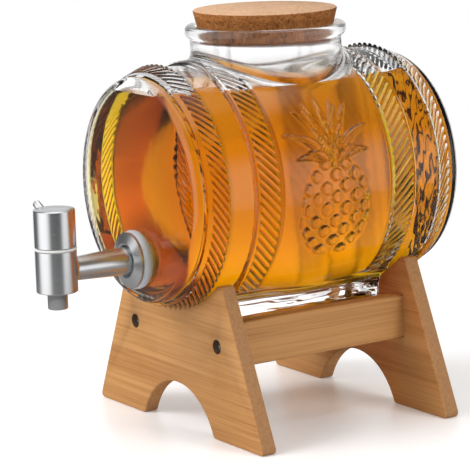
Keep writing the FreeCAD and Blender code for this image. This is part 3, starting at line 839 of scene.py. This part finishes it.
def push_ribs(wall, material):
    """Pushes the hoops' marked rows in between slanted ribs, with a Geometry Nodes tree."""
    barrel = settings().barrel
    inputs = {
        "Rib Count": ("NodeSocketInt", barrel.rib_count),
        "Rib Depth": ("NodeSocketFloat", barrel.rib_depth),
        "Rib Slant": ("NodeSocketFloat", barrel.rib_slant),
        "Axis Height": ("NodeSocketFloat", barrel.axis_height),
        "Material": ("NodeSocketMaterial", material),
    }
    group = bpy.data.node_groups.new("slanted_ribs", "GeometryNodeTree")
    sockets = group.interface
    sockets.new_socket("Geometry", in_out="INPUT", socket_type="NodeSocketGeometry")
    for name, (kind, _) in inputs.items():
        sockets.new_socket(name, in_out="INPUT", socket_type=kind)
    sockets.new_socket("Geometry", in_out="OUTPUT", socket_type="NodeSocketGeometry")
    tree = Tree(group)
    entry = group.nodes.new("NodeGroupInput")
    geometry, count, depth, slant, axis_height, dress = (
        Value(tree, entry.outputs[name]) for name in ("Geometry", *inputs))

    def marked(name):
        """Attribute that the wall's points carry."""
        return tree.node("GeometryNodeInputNamedAttribute", {"data_type": "FLOAT"}, {"Name": name})

    x, y, z = tree.axes(tree.node("GeometryNodeInputPosition", {}, {}))
    z = z - axis_height
    phase = (z.angle_over(x) - marked("rib_turn") * slant) * count * 0.5
    crest = abs(phase.sine())
    flute = (phase * 6.0).sine() * 0.07
    valley = (1.0 - crest ** 0.7 + flute * crest) * depth * marked("rib_share")
    scale = valley / (x * x + z * z) ** 0.5
    offset = tree.node("ShaderNodeCombineXYZ", {}, {0: x * scale * -1.0, 2: z * scale * -1.0})
    pushed = tree.node("GeometryNodeSetPosition", {}, {"Geometry": geometry, "Offset": offset})
    real = tree.node("GeometryNodeRealizeInstances", {}, {"Geometry": pushed})
    dressed = tree.node("GeometryNodeSetMaterial", {}, {"Geometry": real, "Material": dress})
    tree.finish("NodeGroupOutput", {0: dressed})
    step = wall.modifiers.new("ribs", "NODES")
    step.node_group = group
    for item in sockets.items_tree:
        if item.in_out == "INPUT" and item.name in inputs:
            step[item.identifier] = inputs[item.name][1]


def barrel_wall(material):
    """Closed outer shape of the barrel, ribs and fruit included."""
    barrel = settings().barrel
    fruit = settings().fruit
    skin = Skin()
    half = wall_rows()
    rows = [(-place, *rest) for place, *rest in half[:0:-1]] + half
    columns = {
        "belly": wall_columns(),
        "plain": even_angles(180),
        "rib": even_angles(8 * barrel.rib_count),
    }
    shares, turns = [], []
    before = None
    for place, radius, kind, portion in rows:
        angles = columns[kind]
        if kind == "rib":
            angles = angles + barrel.rib_slant * portion
        if radius is None:
            crown = crown_at(place)
            wrapped = np.mod(angles + math.pi, full_turn) - math.pi
            radius = crown + fruit.rise * fruit_height(place, wrapped * crown)
        ring = skin.ring(lying_ring(angles, place, radius))
        shares += [1.0 if kind == "rib" else 0.0] * len(ring)
        turns += [portion] * len(ring)
        if before is None:
            skin.fan(ring, lying_ring(even_angles(1), place, 0.0)[0])
        elif before[2] == kind:
            skin.band(before[0], ring)
        else:
            skin.zipped(before[0], before[1], ring, angles)
        before = (ring, angles, kind)
    skin.fan(before[0], lying_ring(even_angles(1), rows[-1][0], 0.0)[0])
    wall = skin.build("barrel_wall")
    marks = {"rib_share": shares, "rib_turn": turns}
    for name, values in marks.items():
        mark = wall.data.attributes.new(name, "FLOAT", "POINT")
        mark.data.foreach_set("value", values + [0.0] * (len(skin.points) - len(values)))
    push_ribs(wall, material)
    made = evaluated(wall, "barrel_wall")
    for name in marks:
        made.data.attributes.remove(made.data.attributes[name])
    return made


def wet_faces_of(target, material):
    """Gives the faces that the drink touches their own material, as wet glass hardly mirrors."""
    barrel = settings().barrel
    mesh = target.data
    mesh.materials.append(material)
    end = barrel.half_length - barrel.end_wall
    slack = 0.0008
    for face in mesh.polygons:
        x, y, z = face.center
        reach = abs(y - barrel.middle)
        swell = 1 - (reach / end) ** 2
        hollow = barrel.inner_end + (barrel.inner_belly - barrel.inner_end) * swell
        inside = math.hypot(x, z - barrel.axis_height) < hollow + slack
        if z < settings().drink.level and reach < end + slack and inside:
            face.material_index = 1


def paint_groove_shade(target):
    """Marks each point of the glass by how deep in a rib's valley or how steep on the relief it
    lies, as painted shade.
    """
    barrel = settings().barrel
    mesh = target.data
    flat = np.empty(len(mesh.vertices) * 3)
    mesh.vertices.foreach_get("co", flat)
    x, y, z = flat.reshape(-1, 3).T
    along = y - barrel.middle
    reach = abs(along)
    radius = np.hypot(x, z - barrel.axis_height)
    outer_share = (reach - barrel.waist_end) / (barrel.outer_hoop_end - barrel.waist_end)
    drop = np.clip(outer_share, 0.0, 1.0) * (barrel.hoop_radius - barrel.end_hoop_radius)
    depth = (barrel.hoop_radius - drop - radius) / barrel.rib_depth
    valley = np.zeros_like(depth)
    hoops = ((barrel.belly_half, barrel.inner_hoop_end), (barrel.waist_end, barrel.outer_hoop_end))
    for start, end in hoops:
        ribbed = (reach > start + 0.0003) & (reach < end - barrel.band_width) & (depth < 1.3)
        valley = np.where(ribbed, np.clip(depth, 0.0, 1.0) * 0.55, valley)
    for start, end in hoops:
        outside = radius > barrel.waist_radius - 0.0015
        near = np.clip(1.5 - abs(reach - start) / 0.0005, 0.0, 1.0) * outside
        valley = np.maximum(valley, near * 0.7)
    arc = np.arctan2(z - barrel.axis_height, x) * radius
    step = 0.0004
    across = fruit_height(along + step, arc) - fruit_height(along - step, arc)
    upward = fruit_height(along, arc + step) - fruit_height(along, arc - step)
    slope = np.clip(np.hypot(across, upward) * 1.5 - 0.12, 0.0, 1.0)
    on_belly = (reach < 0.036) & (radius > barrel.inner_belly + 0.001) & (x > 0)
    # Painted shade: the glass material darkens its base colour by this mark
    mark = mesh.attributes.new("painted_groove_shade", "FLOAT", "POINT")
    mark.data.foreach_set("value", np.where(on_belly, slope, valley))


def swept_corner(start, corner, end, steps):
    """Points on a soft curve from start to end that bends at a corner; the three are arrays."""
    shares = [k / steps for k in range(steps + 1)]
    return [start * (1 - t) ** 2 + corner * 2 * t * (1 - t) + end * t ** 2 for t in shares]


def neck_block():
    """Closed outer shape of the neck, swept out into the belly, with the bead round its mouth."""
    barrel = settings().barrel
    angles = even_angles(176)
    bead_round, bore_margin = 0.0026, 0.0016
    root = barrel.axis_height + 0.035

    def wall(radius, height):
        return upright_ring(angles, height, radius)

    def on_belly(radius):
        x = radius * np.cos(angles)
        return barrel.axis_height + np.sqrt(belly_radius_at(radius * np.sin(angles)) ** 2 - x ** 2)

    flare_edge = barrel.neck_radius + barrel.neck_flare
    top = barrel.rim_top
    bead_bottom = top - barrel.rim_height
    flare_start = wall(flare_edge, on_belly(flare_edge) + sweep_step)
    corner = wall(barrel.neck_radius, on_belly(barrel.neck_radius))
    lift = np.array([0.0, 0.0, barrel.neck_flare * 0.9])
    skirt = wall(flare_edge - 0.0015, on_belly(flare_edge) - 0.006)
    rings = [wall(barrel.neck_radius, root), skirt]
    rings += swept_corner(flare_start, corner, corner + lift, 8)
    rings += [
        wall(barrel.neck_radius, bead_bottom - 0.0012),
        wall(barrel.neck_radius + 0.0006, bead_bottom - 0.0003),
        wall(barrel.rim_radius - 0.0008, bead_bottom + 0.0009),
        wall(barrel.rim_radius, bead_bottom + bead_round),
    ]
    for sine, cosine in quarter_arc(5):
        rings.append(wall(barrel.rim_radius - bead_round * (1 - cosine),
                          top - bead_round * (1 - sine)))
    rings.append(wall(barrel.neck_bore - bore_margin, top))
    return closed_shape("neck_block", rings, (0.0, barrel.middle, root), (0.0, barrel.middle, top))


def rounded_outline(half_x, half_y, corner):
    """Points and outward directions round a rectangle with rounded corners."""
    points, ways = [], []
    corner_steps, side_steps = 8, 12
    centres = [np.array([side_x * (half_x - corner), side_y * (half_y - corner)])
               for side_x, side_y in ((1, 1), (-1, 1), (-1, -1), (1, -1))]
    for turn, centre in enumerate(centres):
        for k in range(corner_steps + 1):
            turned = quarter_turn * (turn + k / corner_steps)
            ways.append(np.array([math.cos(turned), math.sin(turned)]))
            points.append(centre + ways[-1] * corner)
        start, goal = points[-1], centres[(turn + 1) % 4] + ways[-1] * corner
        for k in range(1, side_steps):
            points.append(start + (goal - start) * k / side_steps)
            ways.append(ways[-1])
    return np.array(points), np.array(ways)


def foot_block():
    """Closed shape of the glass foot, swept up into the belly, with a shallow recess below."""
    barrel = settings().barrel
    points, ways = rounded_outline(barrel.foot_half_width, barrel.foot_half_length,
                                   barrel.foot_corner)
    end_sweep, side_sweep = 0.003, 0.0065
    sweep = (end_sweep * abs(ways[:, 1]) + side_sweep * abs(ways[:, 0]))[:, None]
    edge, recess_edge, recess, recess_round = 0.0016, 0.007, 0.002, 0.0006
    base, root = barrel.foot_bottom, barrel.axis_height - 0.045

    def level(outline, height):
        heights = np.broadcast_to(height, (len(outline),))
        return np.stack([outline[:, 0], outline[:, 1] + barrel.middle, heights], axis=1)

    def under_belly(outline):
        radius = belly_radius_at(outline[:, 1])
        radius = np.where(abs(outline[:, 1]) > barrel.inner_hoop_end, barrel.waist_radius, radius)
        return barrel.axis_height - np.sqrt(radius ** 2 - outline[:, 0] ** 2)

    wide = points + ways * sweep
    rings = [level(points - ways * (recess_edge + 0.001), base + recess),
             level(points - ways * recess_edge, base + recess_round),
             level(points - ways * (recess_edge - recess_round), base)]
    for sine, cosine in quarter_arc(3):
        rings.append(level(points - ways * edge * (1 - sine), base + edge * (1 - cosine)))
    top = under_belly(points)
    start = level(points, np.maximum(top - sweep[:, 0] * 1.6, base + edge * 1.05))
    end = level(wide, under_belly(wide) - sweep_step)
    rings += swept_corner(start, level(points, top), end, 6)
    rings.append(level(points + ways * (sweep - 0.001), under_belly(wide) + 0.004))
    rings.append(level(points - ways * 0.004, root))
    return closed_shape("foot_block", rings, (0.0, barrel.middle, base + recess),
                        (0.0, barrel.middle, root))


def hollow_block(name, extra):
    """Closed shape of the hollow, grown by extra."""
    barrel = settings().barrel
    steps = 9
    start = barrel.half_length - barrel.end_wall - barrel.inner_round
    reach = barrel.inner_round + extra
    arc = [(-start - reach * cosine, barrel.inner_end - barrel.inner_round + reach * sine)
           for sine, cosine in quarter_arc(5)]
    rows = list(arc)
    for k in range(1, steps):
        place = start * (2 * k / steps - 1)
        swell = 1 - (place / start) ** 2
        radius = barrel.inner_end + extra + (barrel.inner_belly - barrel.inner_end) * swell
        rows.append((place, radius))
    rows += [(-place, radius) for place, radius in reversed(arc)]
    return turned_block(name, rows, 144, lying_ring)


def mouth_block():
    """Tool that opens the neck, wider at the lip."""
    barrel = settings().barrel
    lip, past = 0.0016, 0.004
    rows = [(barrel.axis_height + 0.03, barrel.neck_bore)]
    for _, cosine in quarter_arc(4):
        rows.append((barrel.rim_top - lip * cosine, barrel.neck_bore + lip * (1 - cosine)))
    rows.append((barrel.rim_top + past, barrel.neck_bore + lip))
    return turned_block("mouth_block", rows, 144, upright_ring)


def hole_block():
    """Tool that drills the hole for the tap."""
    barrel = settings().barrel
    past = 0.003
    rows = [(-past, barrel.tap_hole), (barrel.boss_height + past, barrel.tap_hole)]
    return turned_block("hole_block", rows, 48, tap_ring)


def boss_block(less):
    """Thicker glass round the tap's hole, smaller by less on every side."""
    barrel = settings().barrel
    edge, fillet = 0.0012, 0.001
    radius, height = barrel.boss_radius - less, barrel.boss_height - less
    rows = [(0.002, barrel.boss_radius + fillet - less),
            (barrel.end_wall, barrel.boss_radius + fillet - less),
            (barrel.end_wall + fillet, radius)]
    for sine, cosine in quarter_arc(3):
        rows.append((height - edge * (1 - sine), radius - edge * (1 - cosine)))
    return turned_block("boss_block", rows, 64, tap_ring)


class DISPENSER_OT_glass(bpy.types.Operator):
    """Build the pressed glass barrel"""

    bl_idname = "dispenser.glass"
    bl_label = "Glass barrel"

    def execute(self, context):
        material = glass_material("pressed_glass", white)
        glass = barrel_wall(material)
        hollow = joined(hollow_block("hollow_block", 0.0), mouth_block(), "UNION")
        steps = ((neck_block(), "UNION"), (foot_block(), "UNION"), (hollow, "DIFFERENCE"),
                 (boss_block(0.0), "UNION"), (hole_block(), "DIFFERENCE"))
        for tool, operation in steps:
            glass = joined(glass, tool, operation)
        smooth(glass, 38.0)
        paint_groove_shade(glass)
        placed(glass, "barrel_glass", "barrel", ["glass_barrel"], material)
        wet_faces_of(glass, glass_material("wet_glass", black))
        return {"FINISHED"}


class DISPENSER_OT_drink(bpy.types.Operator):
    """Fill the barrel with the drink"""

    bl_idname = "dispenser.drink"
    bl_label = "Drink"

    def execute(self, context):
        drink = settings().drink
        filling = joined(hollow_block("drink_block", drink.overlap), boss_block(drink.overlap),
                         "DIFFERENCE")
        with edited(filling.data) as shape:
            parts = shape.verts[:] + shape.edges[:] + shape.faces[:]
            cut = bmesh.ops.bisect_plane(shape, geom=parts, plane_co=(0, 0, drink.level),
                                         plane_no=(0, 0, 1), clear_outer=True)
            rim = [part for part in cut["geom_cut"] if isinstance(part, bmesh.types.BMEdge)]
            bmesh.ops.contextual_create(shape, geom=rim)
            bmesh.ops.recalc_face_normals(shape, faces=shape.faces)
        smooth(filling, 50.0)
        placed(filling, "amber_drink", "barrel", [], drink_material())
        return {"FINISHED"}


def smooth_copy(node, name, body, material):
    """Piece that stands for a node: the same shape with merged points and smooth shading."""
    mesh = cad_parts[node].data.copy()
    with edited(mesh) as shape:
        bmesh.ops.remove_doubles(shape, verts=shape.verts, dist=0.000002)
    piece = linked(name, mesh)
    smooth(piece, 28.0)
    placed(piece, name, body, [node], material)


class DISPENSER_OT_tap(bpy.types.Operator):
    """Dress the steel tap"""

    bl_idname = "dispenser.tap"
    bl_label = "Tap"

    def execute(self, context):
        steel = steel_material("brushed_steel", settings().finish.steel, 0.20)
        turning = ("tap_cap", "lever_pin", "cap_set_screw", "valve_stem", "valve_plug")
        for node in ("tap_body", "tap_spout", "tap_cap", "lever_pin", "cap_set_screw",
                     "tap_flange", "inlet_shank", "lock_nut", "valve_stem", "valve_plug"):
            body = "tap_handle" if node in turning else "barrel"
            smooth_copy(node, node + "_steel", body, steel)
        return {"FINISHED"}


class DISPENSER_OT_seals(bpy.types.Operator):
    """Dress the washers, rings and linings of the tap"""

    bl_idname = "dispenser.seals"
    bl_label = "Seals and linings"

    def execute(self, context):
        finish = settings().finish
        silicone = soft_material("milky_silicone", finish.silicone, 0.28, 0.35)
        plastic = soft_material("valve_plastic", finish.plastic, 0.35, 0.0)
        for node in ("outer_washer", "inner_washer", "stem_seals"):
            smooth_copy(node, node + "_soft", "barrel", silicone)
        for node in ("cap_ring", "valve_sleeve", "seat_ring", "stem_bush"):
            smooth_copy(node, node + "_plastic", "barrel", plastic)
        return {"FINISHED"}


class DISPENSER_OT_cork(bpy.types.Operator):
    """Dress the cork lid"""

    bl_idname = "dispenser.cork"
    bl_label = "Cork lid"

    def execute(self, context):
        smooth_copy("cork_lid", "cork_stopper", "cork", cork_material())
        return {"FINISHED"}


class DISPENSER_OT_stand(bpy.types.Operator):
    """Dress the bamboo stand and its screws"""

    bl_idname = "dispenser.stand"
    bl_label = "Stand"

    def execute(self, context):
        board = bamboo_material("board_bamboo", "X")
        rail = bamboo_material("rail_bamboo", "Y")
        screw = steel_material("darkened_steel", settings().finish.screw_steel, 0.38)
        for node, wood in (("stand_board_front", board), ("stand_board_rear", board),
                           ("stand_rail_left", rail), ("stand_rail_right", rail)):
            smooth_copy(node, node + "_bamboo", "stand", wood)
        smooth_copy("stand_screws", "stand_screws_steel", "stand", screw)
        return {"FINISHED"}


def add_camera(stage):
    """Camera at the picture's viewing angle."""
    azimuth, elevation, roll = stage.camera_azimuth, stage.camera_elevation, stage.camera_roll
    flat = math.cos(elevation)
    back = Vector((math.sin(azimuth) * flat, -math.cos(azimuth) * flat, math.sin(elevation)))
    level = Vector((math.cos(azimuth), math.sin(azimuth), 0.0))
    upward = back.cross(level)
    right = level * math.cos(roll) + upward * math.sin(roll)
    up = upward * math.cos(roll) - level * math.sin(roll)
    place = Vector(stage.target) + back * stage.camera_distance
    data = bpy.data.cameras.new("camera")
    data.sensor_width = 36.0
    data.lens = stage.focal_pixels / stage.picture_width * data.sensor_width
    camera = linked("camera", data)
    turned = Matrix((right, up, back)).transposed().to_4x4()
    camera.matrix_world = Matrix.Translation(place) @ turned
    bpy.context.scene.camera = camera


def add_lamp(name, place, width, height, power):
    """Soft area lamp that looks at the object."""
    goal = Vector((0.0, 0.0, 0.12))
    data = bpy.data.lights.new(name, "AREA")
    data.shape = "RECTANGLE"
    data.size = width
    data.size_y = height
    data.energy = power
    lamp = linked(name, data)
    turned = (Vector(place) - goal).to_track_quat("Z", "Y").to_matrix().to_4x4()
    lamp.matrix_world = Matrix.Translation(place) @ turned
    lamp.visible_camera = False
    lamp.visible_glossy = False
    lamp.visible_transmission = False


def add_sky():
    """Plain pale studio, dark towards the camera, with a few soft windows.

    The camera sees it white. What shows through the glass has its own, plainer light.
    """
    world = bpy.data.worlds.new("studio")
    world.use_nodes = True
    world.node_tree.nodes.clear()
    bpy.context.scene.world = world
    tree = Tree(world.node_tree)
    camera, through = tree.ray("Camera"), tree.ray("Transmission")
    x, y, z = tree.axes(tree.coordinates("Generated"))
    flat = (x * x + y * y) ** 0.5 + 0.0001

    def facing(degrees):
        """Cosine of the level angle from a direction."""
        turn = math.radians(degrees)
        return (x * math.cos(turn) + y * math.sin(turn)) / flat

    def window(degrees, half_width, low, high, soft):
        """Soft-edged window in a direction, between two heights."""
        edge = math.cos(math.radians(half_width))
        inner = math.cos(math.radians(half_width * 0.2))
        rise, fall = z.between(low - soft, low), z.between(high + soft, high)
        return facing(degrees).between(edge, inner) * rise * fall

    backdrop = facing(147.0)
    left_window = window(-95.0, 48.0, -0.3, 0.75, 0.12)
    right_window = window(35.0, 33.0, -0.14, 0.18, 0.34)
    top_window = z.between(0.80, 0.95)
    windows = left_window * 1.5 + right_window * 1.3 + top_window * 1.6
    studio = 0.14 + windows + backdrop.between(0.80, 0.96) * 0.7
    side_glow = facing(33.0).between(0.3, 0.9) * 0.55
    seen = 0.42 + z.between(-0.1, 0.25) * 0.4 + side_glow + backdrop.between(-0.2, 0.6) * 0.6
    seen = seen * (1.0 - z.between(0.28, 0.62) * 0.5)
    strength = studio + through * (seen - studio)
    strength = strength + camera * (1.0 - strength)
    shine = {"Color": white, "Strength": strength}
    light = tree.node("ShaderNodeBackground", {}, shine, "Background")
    tree.finish("ShaderNodeOutputWorld", {"Surface": light})


def floor_material():
    """Pale floor, white where nothing shades it, with a darker image in glass and steel."""

    def fill(tree):
        speck = tree.noise(tree.object_place(), 30.0, 2.0)
        camera, glossy, through = (tree.ray(name) for name in ("Camera", "Glossy", "Transmission"))
        mirrored = (glossy - through).clamped()
        pale = tree.blend(speck, (0.90, 0.90, 0.905), (0.92, 0.92, 0.925))
        seen = tree.blend(through, pale, (0.76, 0.76, 0.765))
        return {"Surface": tree.principled({
            "Base Color": tree.blend(mirrored, seen, (0.30, 0.30, 0.30)),
            "Roughness": 0.30,
            "Specular IOR Level": 0.25,
            "Emission Color": tree.blend(camera, black, (0.1, 0.1, 0.1)),
            "Emission Strength": 1.0,
        })}

    return finished_material("pale_floor", fill)


class DISPENSER_OT_stage(bpy.types.Operator):
    """Add the floor, lamps, sky and camera"""

    bl_idname = "dispenser.stage"
    bl_label = "Stage"

    def execute(self, context):
        stage = settings().stage
        half = stage.floor_half
        mesh = bpy.data.meshes.new("floor")
        corners = [(-half, -half, 0.0), (half, -half, 0.0), (half, half, 0.0), (-half, half, 0.0)]
        mesh.from_pydata(corners, [], [(0, 1, 2, 3)])
        mesh.materials.append(floor_material())
        floor = linked("floor", mesh)
        add_lamp("key_lamp", (-0.35, -1.1, 0.95), 0.8, 0.8, stage.key)
        add_lamp("fill_lamp", (1.3, 0.5, 0.8), 0.5, 1.0, stage.fill)
        add_sky()
        add_camera(stage)
        context.scene.view_settings.view_transform = "Standard"
        return {"FINISHED"}


class DISPENSER_PT_panel(bpy.types.Panel):
    """Lists the pieces of the dispenser"""

    bl_idname = "DISPENSER_PT_panel"
    bl_label = "Drink dispenser"
    bl_space_type = "VIEW_3D"
    bl_region_type = "UI"
    bl_category = "Dispenser"

    def draw(self, context):
        for operator in operators:
            self.layout.operator(operator.bl_idname)
        for group in DispenserSettings.__annotations__:
            box = self.layout.box()
            values = getattr(context.scene.dispenser, group)
            for name in values.__annotations__:
                box.prop(values, name)


operators = (DISPENSER_OT_stage, DISPENSER_OT_glass, DISPENSER_OT_drink, DISPENSER_OT_tap,
             DISPENSER_OT_seals, DISPENSER_OT_cork, DISPENSER_OT_stand)
classes = (BarrelSizes, FruitSizes, DrinkSettings, StandSizes, FinishColours, StageSettings,
           DispenserSettings, *operators, DISPENSER_PT_panel)


def register():
    for made in classes:
        bpy.utils.register_class(made)
    bpy.types.Scene.dispenser = PointerProperty(type=DispenserSettings)


def unregister():
    del bpy.types.Scene.dispenser
    for made in reversed(classes):
        bpy.utils.unregister_class(made)


def main():
    register()
    bpy.ops.dispenser.stage()
    bpy.ops.dispenser.glass()
    bpy.ops.dispenser.drink()
    bpy.ops.dispenser.tap()
    bpy.ops.dispenser.seals()
    bpy.ops.dispenser.cork()
    bpy.ops.dispenser.stand()


if __name__ == "__main__":
    main()
